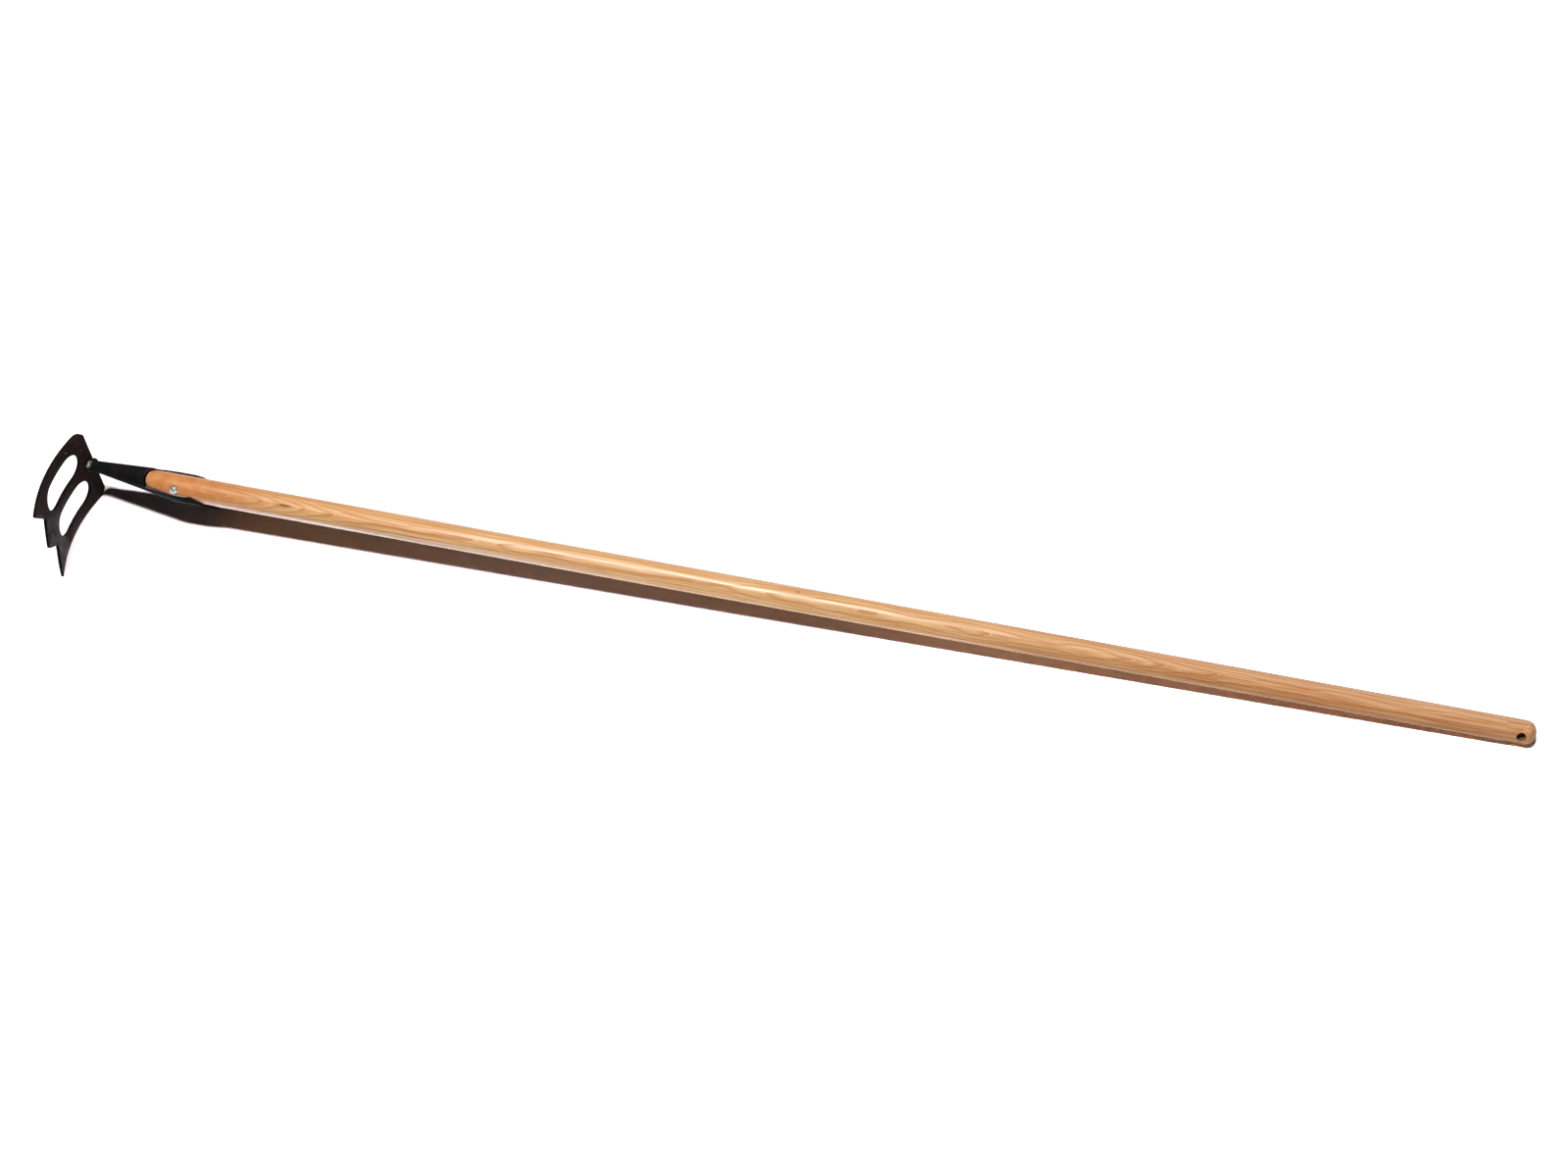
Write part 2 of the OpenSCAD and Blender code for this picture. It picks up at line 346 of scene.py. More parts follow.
# %% The rings
PITH_FAR = 40
RING = 2.6
HEAD_ARCHES = (110, 345)
LONG_OVALS = (640, 900)
BUTT_ARCHES = (1120, 1280)
KEEL_BLUNT = 1.5
KEEL_RISE = 0.22
RING_WOBBLE = 0.3
RIPPLE_SCALE = (0.010, 0.06, 0.06)
closer = along.between(*HEAD_ARCHES) * 5.2 + along.between(*BUTT_ARCHES) * 3.0 - along.between(*LONG_OVALS) * 1.5
out_u = towards + PITH_FAR - closer * RING + drift(run=130, start=0, reach=7)
out_w = across + drift(run=240, start=7.3, reach=12)
keel = (out_w * out_w + KEEL_BLUNT) ** 0.5 * KEEL_RISE
ripple = streaks(RIPPLE_SCALE, detail=1.5)
rings = ((out_u * out_u + out_w * out_w) ** 0.5 - keel) / RING + (ripple - 0.5) * RING_WOBBLE
year = rings.math("FRACT")
print("ash: a ring every", RING, "mm, centre", PITH_FAR, "mm away")

# %% [markdown]
# Each ring starts with its brown spring line, which is sharp on one side and fades on the other. Over the
# rings lie the fibres, long streaks a millimetre wide, and the pores, short dark dashes that are thickest in
# the spring line. All of it could be one image of wood, but then it would have to be wrapped round the
# handle, and cut through at the nose. As noise in space it runs through the handle, as the real grain does.

# %% The spring lines, the fibres and the pores
SPRING_STOPS = ((0.0, 0.0), (0.08, 0.90), (0.24, 0.60), (0.50, 0.12), (1.0, 0.0))
FIBRE_SCALE = (0.009, 1.15, 1.15)
PORE_SCALE = (0.07, 2.4, 2.4)
PORES_IN_SUMMER = 0.2
spring = year.node("ValToRGB", {"Fac": year}, stops=SPRING_STOPS)
fibre = streaks(FIBRE_SCALE, detail=4.0, roughness=0.65)
pore = streaks(PORE_SCALE, detail=2.0)
pores = pore.between(0.55, 0.70) * (PORES_IN_SUMMER + spring * (1 - PORES_IN_SUMMER))
print("fibres:", round(1 / FIBRE_SCALE[0]), "mm long, pores:", round(1 / PORE_SCALE[0]), "mm long")

# %% [markdown]
# The wood isn't the same all along. It shows from the mouth of the socket on, its arches stand out like
# flames near the head and near the butt, and between them the lacquer has the most polish, where the wood
# is also painted a little paler as painted sheen. It is deeper orange in the socket, and browner towards the
# butt, where a paler colour on the crown of the handle is a painted sheen. Each of these stretches is a pair
# of distances along the handle, between which the change comes in or goes out.

# %% The stretches of the handle
OUT_OF_SOCKET = (118, 150)
IN_SOCKET = (240, 145)
HEAD_FLAMES_END = (480, 380)
BUTT_FLAMES_START = (1060, 1160)
BUTT_FLAMES_END = (1480, 1360)
POLISH_AND_SHEEN_STARTS = (280, 560)
POLISH_AND_SHEEN_ENDS = (1180, 900)
BROWNER = (950, 1350)
# The crown near the butt gets a paler colour, which paints the sheen of light from above.
SHEEN_PAINT_ALONG = (850, 1400)
SHEEN_PAINT_ACROSS = (1, 11)
shown = along.between(*OUT_OF_SOCKET)
head_flames = along.between(*HEAD_FLAMES_END)
butt_flames = along.between(*BUTT_FLAMES_START) * along.between(*BUTT_FLAMES_END)
flames = head_flames + butt_flames * 0.8
polish_and_painted_sheen = along.between(*POLISH_AND_SHEEN_STARTS) * along.between(*POLISH_AND_SHEEN_ENDS)
brownness = along.between(*BROWNER)
painted_sheen = along.between(*SHEEN_PAINT_ALONG) * across.between(*SHEEN_PAINT_ACROSS) * 0.6
print("the wood shows from", OUT_OF_SOCKET[0], "mm, and is browner from", BROWNER[0], "mm on")

# %% [markdown]
# The body of the wood goes from deep to pale, fibre by fibre, and each year ring from its pale start to a
# deeper end. In the socket blotches of orange lie over it.

# %% The body of the wood
ASH_PALE = (0.83, 0.52, 0.25)
ASH_BODY = (0.60, 0.285, 0.105)
ASH_BROWN_PALE = (0.84, 0.48, 0.24)
ASH_BROWN = (0.50, 0.205, 0.080)
ASH_PAINTED_SHEEN = (0.86, 0.57, 0.35)
ASH_ORANGE = (0.55, 0.185, 0.045)
BLOTCH_SCALE = 0.09
paleness = fibre.between(0.40, 0.60) * 0.60 + (1 - year) * (0.66 + flames * 0.40) - flames * 0.16
# Where the lacquer has the most polish the wood is painted paler too, as painted sheen.
paleness = ((paleness + polish_and_painted_sheen * 0.16 - 0.10) * (0.55 + shown * 0.45)).between(0.0, 1.0)
deep = brownness.mix(ASH_BODY, ASH_BROWN)
pale = brownness.mix(ASH_PALE, ASH_BROWN_PALE)
# On the crown near the butt the body is mixed towards the painted sheen.
body = painted_sheen.mix(paleness.mix(deep, pale), ASH_PAINTED_SHEEN)
blotch = tool_mm.node("TexNoise", {"Vector": tool_mm, "Scale": BLOTCH_SCALE, "Detail": 3.0})
orange = along.between(*IN_SOCKET) * (0.62 + blotch.between(0.35, 0.65) * 0.33)
body = orange.mix(body, ASH_ORANGE)
print("wood colours from", ASH_BODY, "to", ASH_PALE)

# %% [markdown]
# The lines are drawn over the body: the spring lines, which are stronger in the dark fibres, then the pores,
# and then a few dark fibres. The nose of the wood shows its pale pink end grain.

# %% The lines of the grain
ASH_LINE = (0.50, 0.190, 0.055)
ASH_END = (0.82, 0.45, 0.31)
END_GRAIN = (77, 72)
line_strength = 0.55 + flames * 0.2 + brownness * 0.1 + fibre.between(0.65, 0.35) * 0.5
lines = spring * line_strength * shown + pores * 0.35
lines = (lines + fibre.between(0.50, 0.38) * (0.05 + shown * 0.12 + brownness * 0.14)).between(0.0, 1.0)
grain = (along.between(*END_GRAIN) * 0.8).mix(lines.mix(body, ASH_LINE), ASH_END)
print("end grain up to", END_GRAIN[0], "mm")

# %% [markdown]
# One small knot sits near the socket, with a brown halo, and a dark fleck lies in the middle of the
# handle. Their masks grow from the distance to a place, which is squeezed for the knot, so that it is a long
# eye. The mask of the hang hole is the distance from the hole's axis: the bore is painted nearly black as
# painted shade, and its rounded mouth darkens towards it. Each edge is a pair of distances in millimetres,
# where the dark begins and where it is full.

# %% The knot, the fleck and the hang hole
KNOT = (0.16, 0.055, 0.02)
KNOT_AT = (234.6, -7.0, 12.4)
KNOT_SQUEEZE = (0.24, 1.1, 1.1)
FLECK_AT = (808.0, 1.0, 14.1)
HANG_AT = (1585.3, 0.0, 0.0)
HANG_RISE = math.radians(30)
HANG_AXIS = (0.0, -math.cos(HANG_RISE), math.sin(HANG_RISE))
HOLE_SHADE = (0.05, 0.02, 0.01)
KNOT_EDGE = (2.2, 0.9)
HALO_EDGE = (4.2, 2.0)
FLECK_EDGE = (1.7, 0.9)
HOLE_RIM = (5.6, 4.9)
HOLE_MOUTH = (4.9, 4.65)
from_knot = tool_mm.vector("SUBTRACT", KNOT_AT)
knot_r = tool_mm.node("Mapping", {"Vector": from_knot, "Scale": KNOT_SQUEEZE}).vector("LENGTH", out="Value")
knot = (knot_r + (ripple - 0.5) * 1.6).between(*KNOT_EDGE) * 0.85
halo = knot_r.between(*HALO_EDGE) * 0.5
fleck = tool_mm.vector("DISTANCE", FLECK_AT, out="Value").between(*FLECK_EDGE) * 0.7
dark = knot.math("MAXIMUM", fleck)
from_hole = tool_mm.vector("SUBTRACT", HANG_AT).vector("CROSS_PRODUCT", HANG_AXIS)
hole_r = from_hole.vector("LENGTH", out="Value")
# Painted shade: dark inside the bore, fading out over its rounded mouth.
hole_shade = hole_r.between(*HOLE_RIM) * 0.45 + hole_r.between(*HOLE_MOUTH) * 0.5
wood = hole_shade.mix(dark.mix(halo.mix(grain, ASH_LINE), KNOT), HOLE_SHADE)
print("knot at", KNOT_AT[0], "mm, fleck at", FLECK_AT[0], "mm, hang hole at", HANG_AT[0], "mm")

# %% [markdown]
# A clear lacquer lies over the wood. It is a coat in the same shader, so the wood keeps its own dull
# roughness underneath. The coat is thinner over the open lines, and stronger along the stretch with the most
# polish and along its lower side near the head, where it mirrors the floor. There is none in the hang hole.

# %% The lacquer
LOWER_SIDE = (-8.5, -12.0)
LOWER_SIDE_HEAD = (460, 200)
gloss = 0.25 + polish_and_painted_sheen * 0.40 + fibre.between(0.42, 0.58) * 0.35 - lines * 0.25
gloss = gloss + across.between(*LOWER_SIDE) * (0.15 + along.between(*LOWER_SIDE_HEAD) * 0.40)
gloss = gloss.math("MINIMUM", 1.0)
connect(
    ash_shader,
    Base_Color=wood,
    Roughness=0.50 + lines * 0.2 + (1 - fibre) * 0.1 + hole_shade * 0.3,
    Coat_Weight=gloss * (1 - hole_shade) * (1 - dark * 0.7),
    Normal=tool_mm.node("Bump", {"Strength": 0.35, "Distance": 0.0003, "Height": fibre * 0.5 - pores}),
)
print("lacquered ash:", len(ash.node_tree.nodes), "shader nodes")

# %% [markdown]
# The blade and the socket wear a thin satin black over the skin of the forging. They look black where they
# reflect the dark room above, and brown-grey where they reflect the floor. So each needs one very dark
# colour with warmer patches, and a roughness that changes with them. The black is thinner on the
# blade, which is browner all over.


# %% The black steel
def steel_paint(name, dark, warm, amount):
    """Black steel with warmer patches, drawn at the size of the real mottling."""
    material, shader, spot = paint(name, Metallic=0.0, IOR=1.5, Specular_IOR_Level=0.010)
    broad = spot.node("TexNoise", {"Vector": spot, "Scale": 90.0, "Detail": 5.0, "Roughness": 0.6})
    fine = spot.node("TexNoise", {"Vector": spot, "Scale": 420.0, "Detail": 4.0, "Roughness": 0.65})
    patches = (broad * 0.65 + fine * 0.35).between(0.42, 0.60)
    connect(
        shader,
        Base_Color=(patches * amount).mix(dark, warm),
        Roughness=0.50 + patches * 0.2,
        Normal=spot.node("Bump", {"Strength": 0.25, "Distance": 0.0004, "Height": broad * 0.5 + fine}),
    )
    return material


socket_steel = steel_paint("black socket steel", (0.006, 0.007, 0.0072), (0.016, 0.011, 0.0095), amount=0.7)
blade_steel = steel_paint("brown-black blade steel", (0.030, 0.024, 0.019), (0.075, 0.034, 0.034), amount=0.85)
print("steels:", socket_steel.name, "and", blade_steel.name)

# %% [markdown]
# The rivet is plain bright steel that has been struck with a hammer. The weld bead is burnt nearly black,
# and its one pale patch beside the neck is a painted highlight. The drops of spatter are dull grey. All three
# are a clean colour under darker patches, so one function paints them, and the bare edges of the socket later.


# %% The rivet, the weld and the spatter
# The painted highlight on the weld is full within the first radius and gone by the second.
GLINT_R = 3.2 * MM
GLINT_FADE_R = 5.4 * MM


def bare_paint(name, clean, burnt, roughness, share, metal, scale=600.0, near=None):
    """Clean metal with burnt or dull patches. With near, the clean colour shows only round that place, where it
    paints a highlight.
    """
    material, shader, spot = paint(name, Metallic=metal, Specular_IOR_Level=0.05 if near else 0.5)
    mottle = spot.node("TexNoise", {"Vector": spot, "Scale": scale, "Detail": 4.0})
    patches = mottle.between(0.4, 0.62) * share
    if near:
        away = spot.vector("DISTANCE", TOOL @ (Vector(near) * MM), out="Value")
        patches = patches.math("MAXIMUM", away.between(GLINT_R, GLINT_FADE_R))
    connect(
        shader,
        Base_Color=patches.mix(clean, burnt),
        Roughness=roughness + patches * 0.25,
        Normal=spot.node("Bump", {"Strength": 0.3, "Distance": 0.0002, "Height": mottle}),
    )
    return material


# The place of the weld's painted highlight, beside the neck.
GLINT_AT = (4.6, 3.4, 6.6)
weld_metal = bare_paint(
    "weld metal", (0.46, 0.42, 0.41), (0.016, 0.014, 0.012), roughness=0.5, share=1.0, metal=0.0,
    scale=300.0, near=GLINT_AT,
)
spatter_metal = bare_paint(
    "spatter metal", (0.20, 0.19, 0.17), (0.05, 0.045, 0.04), roughness=0.5, share=1.0, metal=0.2, scale=500.0
)
rivet_metal = bare_paint(
    "rivet steel", (0.44, 0.44, 0.41), (0.24, 0.235, 0.21), roughness=0.55, share=0.8, metal=0.9
)
print("bare metals:", weld_metal.name + ",", spatter_metal.name, "and", rivet_metal.name)

# %% [markdown]
# These helpers do what a modeller does by hand between two strokes: take hold of one object and let go of
# all else, apply a modifier, cut one object with another, take off sharp edges, and join several objects.


# %% Hands for whole objects
def only(thing):
    """Selects one object and nothing else."""
    bpy.ops.object.select_all(action="DESELECT")
    thing.select_set(True)
    bpy.context.view_layer.objects.active = thing


def apply(thing, kind, **settings):
    """Adds a modifier and applies it."""
    only(thing)
    modifier = thing.modifiers.new(kind.lower(), kind)
    for name, value in settings.items():
        setattr(modifier, name, value)
    bpy.ops.object.modifier_apply(modifier=modifier.name)


def cut(thing, tool, operation="DIFFERENCE"):
    """Cuts thing with tool, and throws the tool away."""
    apply(thing, "BOOLEAN", object=tool, operation=operation, solver="EXACT")
    bpy.data.objects.remove(tool)


def soften(thing, width, limit):
    """Takes the sharpness off every edge that turns by more than limit degrees."""
    apply(thing, "BEVEL", width=width, segments=2, limit_method="ANGLE", angle_limit=math.radians(limit))


def joined(*things):
    """Joins all the things to the last one."""
    only(things[-1])
    for thing in things:
        thing.select_set(True)
    bpy.ops.object.join()
    return things[-1]


print("ready to cut, soften and join")

# %% [markdown]
# In edit mode an operator acts on what is selected, so `edit` opens an object with the right edges
# selected, and `done` closes it. `place` puts a finished piece where it belongs, and `measure` says how
# large a piece has become.


# %% Hands for one mesh
def edit(thing, wanted=None):
    """Opens thing in edit mode with the edges selected that wanted(edge) accepts, or else with all of it."""
    only(thing)
    bpy.ops.object.mode_set(mode="EDIT")
    bpy.ops.mesh.select_mode(type="EDGE" if wanted else "FACE")
    bpy.ops.mesh.select_all(action="DESELECT" if wanted else "SELECT")
    if wanted:
        mesh = bmesh.from_edit_mesh(thing.data)
        for edge in mesh.edges:
            if wanted(edge):
                edge.select_set(True)
        mesh.select_flush_mode()
        bmesh.update_edit_mesh(thing.data)


def done():
    """Closes edit mode."""
    bpy.ops.object.mode_set(mode="OBJECT")


def place(thing, name, material, matrix, smooth):
    """Puts a finished piece in its place in its mesh, so its object stays at the origin."""
    only(thing)
    bpy.ops.object.transform_apply(location=True, rotation=True, scale=True)
    thing.data.transform(matrix)
    thing.name = name
    thing.data.materials.clear()
    thing.data.materials.append(material)
    bpy.ops.object.shade_smooth_by_angle(angle=math.radians(smooth))
    print(name, "has", len(thing.data.polygons), "faces")


def measure(thing, name):
    """Says how large a piece is so far."""
    print(name + ":", in_mm(thing.dimensions), "mm,", len(thing.data.polygons), "faces")


print("ready to edit, place and measure")

# %% [markdown]
# The blade is a curved plate. A thin upright rectangle is spun about the centre of the bow, which gives
# a plate with an even thickness and a true curve. A flat pattern with three points, two notches and two
# slots is modelled as a block, and the plate keeps only what lies inside that block.

# %% The curved plate
BLADE_W = 118 * MM
BLADE_H = 120 * MM
PLATE_T = 3 * MM
BOW_R = 170 * MM
BOW_STEPS = 56
SPARE = 4 * MM
TINY = 1e-6
half_turn = math.asin((BLADE_H / 2 + 2 * SPARE) / BOW_R)
bpy.ops.mesh.primitive_plane_add(size=1, location=(0, 0, 0))
blade = bpy.context.object
blade.scale = (PLATE_T, BLADE_W + 2 * SPARE, 1)
blade.rotation_euler = (math.pi / 2, 0, 0)
blade.location = (-PLATE_T / 2, 0, 0)
bpy.ops.object.transform_apply(location=True, rotation=True, scale=True)
bow_centre = Matrix.Translation((BOW_R, 0, 0))
blade.data.transform(bow_centre @ Matrix.Rotation(half_turn, 4, "Z") @ bow_centre.inverted())
edit(blade)
bpy.ops.mesh.spin(steps=BOW_STEPS, angle=2 * half_turn, center=(BOW_R, 0, 0), axis=(0, 0, 1))
bpy.ops.mesh.select_all(action="SELECT")
bpy.ops.mesh.remove_doubles(threshold=TINY)
bpy.ops.mesh.normals_make_consistent(inside=False)
done()
measure(blade, "plate")

# %% [markdown]
# The pattern block starts as a cube with the size of the blade. Its two top corners are bevelled round.
# Then it is cut across at each notch and at the middle point, and the two bottom edges at the notches
# are pushed up, which leaves the three points standing. A small bevel blunts each point. The edges that run
# through the block are the corners of the pattern, so they are the ones that are picked.

# %% The flat pattern
CORNER_R = 12 * MM
NOTCH_DEPTH = 20 * MM
NOTCH_Z = 25.5 * MM
POINT_SOFT = 1.6 * MM
DEEP = 90 * MM
BOTTOM = TINY - BLADE_H / 2
bpy.ops.mesh.primitive_cube_add(size=1)
pattern = bpy.context.object
pattern.scale = (DEEP, BLADE_H, BLADE_W)
bpy.ops.object.transform_apply(location=False, rotation=False, scale=True)


def runs_through(edge):
    return abs(edge.verts[0].co.x - edge.verts[1].co.x) > TINY


def is_top_corner(edge):
    return runs_through(edge) and edge.verts[0].co.y > 0


def is_point(edge):
    return runs_through(edge) and max(vert.co.y for vert in edge.verts) < BOTTOM


def is_notch_root(edge):
    return is_point(edge) and abs(abs(edge.verts[0].co.z) - NOTCH_Z) < TINY


edit(pattern, is_top_corner)
bpy.ops.mesh.bevel(offset=CORNER_R, segments=16, affect="EDGES")
for z in (-NOTCH_Z, 0, NOTCH_Z):
    bpy.ops.mesh.select_all(action="SELECT")
    bpy.ops.mesh.bisect(plane_co=(0, 0, z), plane_no=(0, 0, 1))
done()
edit(pattern, is_notch_root)
bpy.ops.transform.translate(value=(0, NOTCH_DEPTH, 0))
done()
edit(pattern, is_point)
bpy.ops.mesh.bevel(offset=POINT_SOFT, segments=4, affect="EDGES")
done()
measure(pattern, "pattern")

# %% [markdown]
# Each slot is a block whose four long edges are bevelled by half its width, which makes its ends half
# round. The slots are cut from the pattern, and then the plate is cut to the pattern.

# %% The slots
SLOT_W = 35 * MM
SLOT_L = 70 * MM
SLOT_Z = 25 * MM
TOP_BAR = 15.5 * MM
for z in (-SLOT_Z, SLOT_Z):
    bpy.ops.mesh.primitive_cube_add(size=1, location=(0, BLADE_H / 2 - TOP_BAR - SLOT_L / 2, z))
    slot = bpy.context.object
    slot.scale = (2 * DEEP, SLOT_L, SLOT_W)
    bpy.ops.object.transform_apply(location=True, rotation=False, scale=True)
    edit(slot, runs_through)
    bpy.ops.mesh.bevel(offset=SLOT_W / 2 - TINY, segments=20, affect="EDGES")
    done()
    cut(pattern, slot)
cut(blade, pattern, "INTERSECT")
measure(blade, "blade")

# %% [markdown]
# A last small bevel takes the sharpness off every edge, as a file does. The rim, where the plate was cut, is
# blacker than the two sides, so its faces get the socket's darker steel. They are the faces that don't look
# towards the centre of the bow or away from it.

# %% The finished blade
EDGE_SOFT = 0.45 * MM
RIM_TURN = 0.5
soften(blade, EDGE_SOFT, limit=35)


def is_rim(face):
    to_centre = Vector((BOW_R - face.center.x, -face.center.y, 0)).normalized()
    return abs(face.normal.dot(to_centre)) < RIM_TURN


rim = [is_rim(face) for face in blade.data.polygons]
place(blade, "hoe_blade", blade_steel, BLADE, smooth=30)
blade.data.materials.append(socket_steel)
for face, is_dark in zip(blade.data.polygons, rim):
    face.material_index = int(is_dark)
print("rim faces:", sum(rim))

# %% [markdown]
# The socket and the handle already have their form in the solids. A copy of each is merged to one skin and
# worked on. `block` and `roller` make the tools that cut it, a straight one and a round one.


# %% Copies of the solids, and tools to cut them
ROLLER_SIDES = 160
ROLLER_LONG = 200 * MM


def merged(node):
    """A copy of a solid, merged to one skin and carried to the tool's own upright frame."""
    only(frame["nodes"][node])
    bpy.ops.object.duplicate()
    copy = bpy.context.object
    for key_name in list(copy.keys()):
        del copy[key_name]
    copy.parent = None
    edit(copy)
    bpy.ops.mesh.remove_doubles(threshold=TINY)
    bpy.ops.mesh.dissolve_limited(angle_limit=math.radians(0.2))
    done()
    copy.data.transform(TOOL.inverted())
    return copy


def block(low, high):
    """A block between two corners, given in millimetres."""
    bpy.ops.mesh.primitive_cube_add(size=1, location=[(a + b) / 2 * MM for a, b in zip(low, high)])
    made = bpy.context.object
    made.scale = [(b - a) * MM for a, b in zip(low, high)]
    bpy.ops.object.transform_apply(location=True, rotation=False, scale=True)
    return made


def roller(radius, middle, rotation):
    """A long smooth cylinder, with its radius and its middle in millimetres."""
    at = [c * MM for c in middle]
    sizes = {"vertices": ROLLER_SIDES, "radius": radius * MM, "depth": ROLLER_LONG}
    bpy.ops.mesh.primitive_cylinder_add(**sizes, location=at, rotation=rotation)
    bpy.ops.object.transform_apply(location=True, rotation=True, scale=True)
    return bpy.context.object


socket = merged("socket")
handle = merged("handle")
measure(socket, "socket")
measure(handle, "handle")

# %% [markdown]
# The wings of the real socket were snipped off short, above a tongue that runs on underneath. The snip is
# a block from which a roller has taken a round corner, so the cut falls in a curve from the edge of the
# window to the tongue. That edge lies 69 degrees round the wall from the middle of the window.

# %% Snipping the wings
WALL_OUT = 16.85
WINDOW_HALF = math.radians(69)
EDGE_Z = WALL_OUT * math.cos(WINDOW_HALF)
SNIP_X = 119
SNIP_END_X = 190
SNIP_R = 24
TONGUE_Z = -8
CLEAR = 30
ACROSS_TOOL = (math.pi / 2, 0, 0)
snip = block((SNIP_X, -CLEAR, TONGUE_Z), (SNIP_END_X, CLEAR, CLEAR))
cut(snip, roller(SNIP_R, (SNIP_X, 0, EDGE_Z - SNIP_R), ACROSS_TOOL))
cut(socket, snip)
measure(socket, "snipped socket")

# %% [markdown]
# The window was sheared by hand. Its lower edge dips beside the nose of the wood, and its end is blunter
# than the solid's. So one more block is laid on the edge of the window, turned down a little about the end
# of the dip, and given a round end by an upright roller.

# %% Dipping the window
DIP_FROM_X = 55
DIP_END_X = 108
DIP_TALL = 40
DIP = math.radians(5.9)
BLUNT_X = 70.9
BLUNT_R = 22.5
UPRIGHT = (0, 0, 0)
dip = block((DIP_FROM_X, -CLEAR, 0), (DIP_END_X, CLEAR, DIP_TALL))
hinge = Matrix.Translation((DIP_END_X * MM, 0, 0))
turn_down = hinge @ Matrix.Rotation(-DIP, 4, "Y") @ hinge.inverted()
dip.data.transform(Matrix.Translation((0, 0, EDGE_Z * MM)) @ turn_down)
cut(dip, roller(BLUNT_R, (BLUNT_X + BLUNT_R, 0, 0), UPRIGHT), "INTERSECT")
cut(socket, dip)
measure(socket, "socket with its window")

# %% [markdown]
# The bore goes a little deeper than in the solid, which makes room for the round nose of the wood. A
# drill would leave the same shape, so the tool is a piece of a roller that lies along the handle.

# %% Deepening the bore
NOSE_TIP = 68.6
NOSE_Y = 2.8
BORE_R = 8.5
BORE_SPARE = 1.5
IN_WOOD_X = 75
ALONG_TOOL = (0, math.pi / 2, 0)
drill = roller(BORE_R, (0, NOSE_Y, 0), ALONG_TOOL)
cut(drill, block((NOSE_TIP - BORE_SPARE, -CLEAR, -CLEAR), (IN_WOOD_X, CLEAR, CLEAR)), "INTERSECT")
cut(socket, drill)
measure(socket, "socket with its bore")

# %% [markdown]
# The nose of the wood shows in the window, and on the real tool it is as round as a thimble. The copy of the
# solid is cut into thin slices there, without losing anything, and each slice is drawn in until the nose
# is half an egg. The slices lie closer together at the tip, where the curve is tight.

# %% Rounding the nose of the wood
NOSE_X = 71.3
NOSE_FULL = 83.0
NOSE_BLUNT = 2.9
TIP_LEAST = 0.03
SLICES = 14
for step in range(SLICES):
    slice_x = NOSE_X + (NOSE_FULL - NOSE_X) * (1 - (step / SLICES) ** 1.5)
    edit(handle)
    bpy.ops.mesh.bisect(plane_co=(slice_x * MM, 0, 0), plane_no=(1, 0, 0))
    done()
for vertex in handle.data.vertices:
    x = vertex.co.x / MM
    if x < NOSE_FULL:
        run = (NOSE_FULL - x) / (NOSE_FULL - NOSE_X)
        thin = math.sqrt(max(TIP_LEAST, 1 - run**NOSE_BLUNT))
        vertex.co.x = (NOSE_FULL - run * (NOSE_FULL - NOSE_TIP)) * MM
        vertex.co.y = NOSE_Y * MM + (vertex.co.y - NOSE_Y * MM) * thin
        vertex.co.z *= thin
measure(handle, "handle with a round nose")

# %% [markdown]
# No edge of a real tool is perfectly sharp, so a small bevel takes the light there. The sheared edge of the
# window is paler than the rest: dull brown beside the nose of the wood, and bare steel further along, whose
# pale pink colour also paints the warm light that the wood throws on it. So its faces get materials of their
# own. They are found by the way they look, which is neither outwards nor inwards, but along the wall.

# %% The finished socket and handle
SOCKET_SOFT = 0.35 * MM
HANDLE_SOFT = 0.5 * MM
WINDOW_X = (69 * MM, 116 * MM)
WALL_IN = 11.5 * MM
FAR_WALL_Y = 9 * MM
ROUND_END_X = 78 * MM
BARE_FROM_X = 98 * MM
MOST_OUTWARD = 0.6
LEAST_OPEN = 0.3
# Bare steel, whose pale pink also paints the warm light that the wood throws on the edge.
bare_steel_and_painted_light = bare_paint(
    "bare edge steel with painted warm light", (0.42, 0.27, 0.21), (0.18, 0.105, 0.085), roughness=0.55, share=0.7, metal=0.2
)
dull_steel = bare_paint(
    "dull edge steel", (0.10, 0.045, 0.038), (0.04, 0.020, 0.018), roughness=0.6, share=0.7, metal=0.1
)


def edge_finish(face):
    """0 for black steel, and 1 for bare or 2 for dull steel on the sheared edge of the window."""
    x, y, z = face.center
    away = Vector((0, y, z))
    in_window = WINDOW_X[0] < x < WINDOW_X[1] and away.length > WALL_IN and (y < FAR_WALL_Y or x < ROUND_END_X)
    along_wall = abs(face.normal.dot(away.normalized())) < MOST_OUTWARD
    opens = max(face.normal.x, face.normal.z) > LEAST_OPEN
    if in_window and along_wall and opens:
        return 2 if x < BARE_FROM_X else 1
    return 0


soften(socket, SOCKET_SOFT, limit=40)
finishes = [edge_finish(face) for face in socket.data.polygons]
place(socket, "rolled_socket", socket_steel, TOOL, smooth=35)
socket.data.materials.append(bare_steel_and_painted_light)
socket.data.materials.append(dull_steel)
for face, finish in zip(socket.data.polygons, finishes):
    face.material_index = finish
print("bare faces:", finishes.count(1), "and dull faces:", finishes.count(2))
soften(handle, HANDLE_SOFT, limit=30)
place(handle, "ash_handle", ash, TOOL, smooth=35)

# %% [markdown]
# The weld runs round the foot of the neck where it stands on the blade. It starts as a ring, and its
# skin is drawn in and out to show the ripples that each dab of the torch leaves. The ring leans, because it
# follows the curved face of the blade.

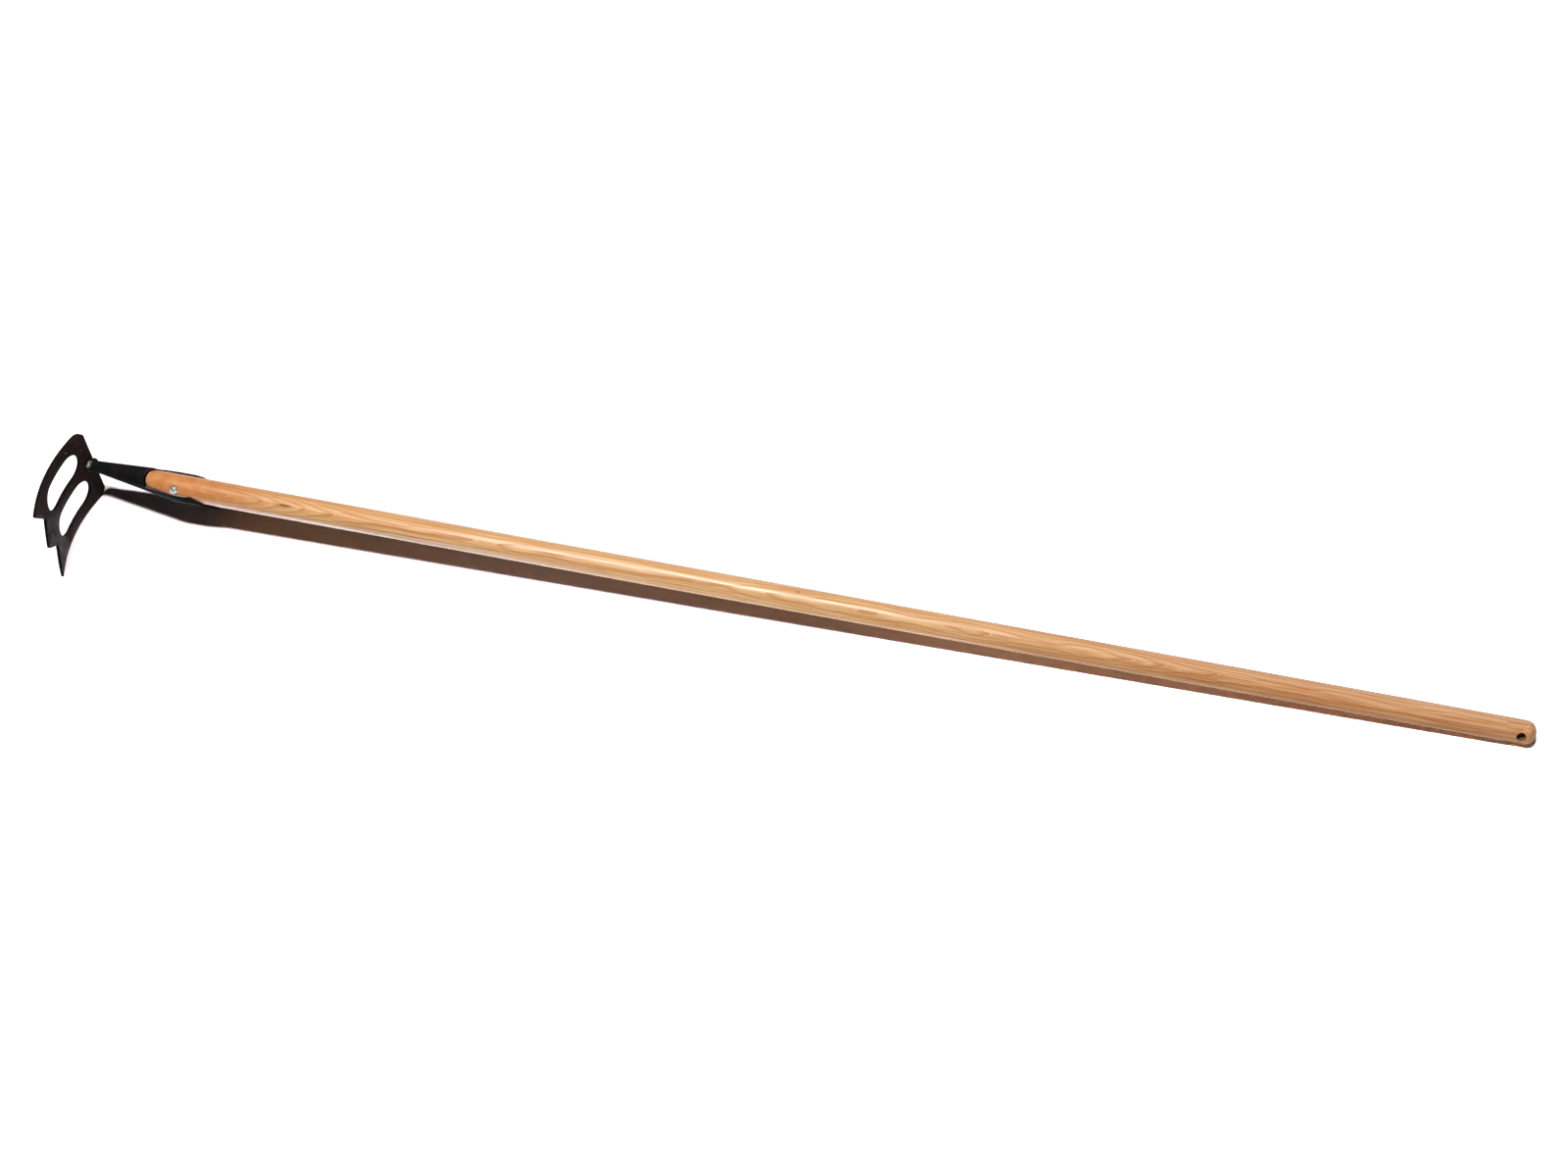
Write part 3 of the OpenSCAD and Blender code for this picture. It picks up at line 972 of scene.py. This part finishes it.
# %% The weld bead
NECK_RISE = 7.9 * MM
BEAD_R = 5.7 * MM
BEAD_T = 2.5 * MM
BEAD_X = 4.1 * MM
FACE_SLOPE = 0.42
RIPPLES = 13
RIPPLE_LEAST = 0.88
RIPPLE_DEPTH = 0.14
LUMP_DEPTH = 0.07
bpy.ops.mesh.primitive_torus_add(
    major_radius=BEAD_R, minor_radius=BEAD_T, major_segments=130, minor_segments=20,
    location=(BEAD_X, NECK_RISE, 0), rotation=(0, math.pi / 2, 0),
)
bead = bpy.context.object
bpy.ops.object.transform_apply(location=True, rotation=True, scale=True)
for vertex in bead.data.vertices:
    radial = Vector((0, vertex.co.y - NECK_RISE, vertex.co.z))
    turn = math.atan2(radial.z, radial.y)
    core = Vector((BEAD_X, NECK_RISE, 0)) + radial.normalized() * BEAD_R
    tilt = Vector((FACE_SLOPE * (core.y - NECK_RISE), 0, 0))
    swell = RIPPLE_LEAST + RIPPLE_DEPTH * abs(math.sin(RIPPLES * turn / 2 + 0.4 * math.sin(3 * turn)))
    swell += LUMP_DEPTH * math.sin(2 * turn + 1.0)
    vertex.co = core + tilt + (vertex.co - core) * swell
place(bead, "weld_bead", weld_metal, TOOL, smooth=60)

# %% [markdown]
# A few drops of spatter have frozen on the face of the blade. Each one is a small ball, half sunk in the
# steel, and its place is given on the flat pattern, from which the bow is worked out.

# %% The spatter
SPATTER = [(50.9, 31.8, 1.0), (45.7, 49.8, 0.55), (32.7, 51.3, 0.7), (1.5, 22.0, 0.5), (-3.0, -31.0, 0.45)]
drops = []
for z, u, radius in SPATTER:
    x = BOW_R - math.sqrt(BOW_R**2 - (u * MM) ** 2)
    bpy.ops.mesh.primitive_ico_sphere_add(subdivisions=2, radius=radius * MM, location=(x, u * MM, z * MM))
    drops.append(bpy.context.object)
spatter = joined(*drops)
place(spatter, "weld_spatter", spatter_metal, BLADE, smooth=60)

# %% [markdown]
# The rivet goes through the socket and the wood. Its head is a low dome, cut from a sphere and flattened on
# top where the hammer has struck it. The closed end on the far side is a smaller dome over the socket, and a
# plain shank joins the two.

# %% The domes of the rivet
RIVET_W = 9.2 * MM
RIVET_EDGE = 0.4 * MM
RIVET_SUNK = 1.2 * MM
STRUCK_FROM = 0.86
STRUCK_LEAVES = 0.45
HEAD_BASE, HEAD_TALL = 14.25 * MM, 3.0 * MM
TAIL_BASE, TAIL_TALL = WALL_OUT * MM, 2.0 * MM


def dome(base, height):
    """A low dome with a straight edge, which stands at distance base along Z."""
    half = RIVET_W / 2
    cap_height = height - RIVET_EDGE
    radius = (half * half + cap_height * cap_height) / (2 * cap_height)
    middle = (0, 0, base + height - radius)
    bpy.ops.mesh.primitive_uv_sphere_add(segments=48, ring_count=40, radius=radius, location=middle)
    cap = bpy.context.object
    bpy.ops.object.transform_apply(location=True, rotation=True, scale=True)
    edit(cap)
    cut_at = (0, 0, base - RIVET_SUNK)
    bpy.ops.mesh.bisect(plane_co=cut_at, plane_no=(0, 0, -1), use_fill=True, clear_outer=True)
    done()
    level = base + height * STRUCK_FROM
    for vertex in cap.data.vertices:
        if vertex.co.z > level:
            vertex.co.z = level + (vertex.co.z - level) * STRUCK_LEAVES
    return cap


head = dome(HEAD_BASE, HEAD_TALL)
tail = dome(TAIL_BASE, TAIL_TALL)
tail.data.transform(Matrix.Rotation(math.pi, 4, "X"))
measure(head, "rivet head")

# %% [markdown]
# The rivet is modelled upright. Its own matrix turns it 50 degrees about the handle, which brings the
# bright head to the near side, where the photograph has it.

# %% The finished rivet
RIVET_X = 108
RIVET_TURN = math.radians(50)
RIVET = TOOL @ Matrix.Translation((RIVET_X * MM, 0, 0)) @ Matrix.Rotation(RIVET_TURN, 4, "X")
SHANK_R = 2 * MM
SHANK_LONG = 30 * MM
bpy.ops.mesh.primitive_cylinder_add(vertices=32, radius=SHANK_R, depth=SHANK_LONG)
rivet = joined(head, tail, bpy.context.object)
place(rivet, "steel_rivet", rivet_metal, RIVET, smooth=40)

# %% [markdown]
# Each piece rides on the one rigid body and stands for the solids that it replaces. Its row also lists the name
# of its material.

# %% The table of pieces
for piece, nodes, slot_name in (
    (blade, ["blade"], "blade_steel"),
    (socket, ["socket"], "socket_steel"),
    (bead, ["weld"], "weld_metal"),
    (spatter, [], "weld_metal"),
    (handle, ["handle"], "ash_wood"),
    (rivet, ["rivet"], "rivet_steel"),
):
    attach(piece, "root")
    if nodes:
        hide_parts(*nodes)
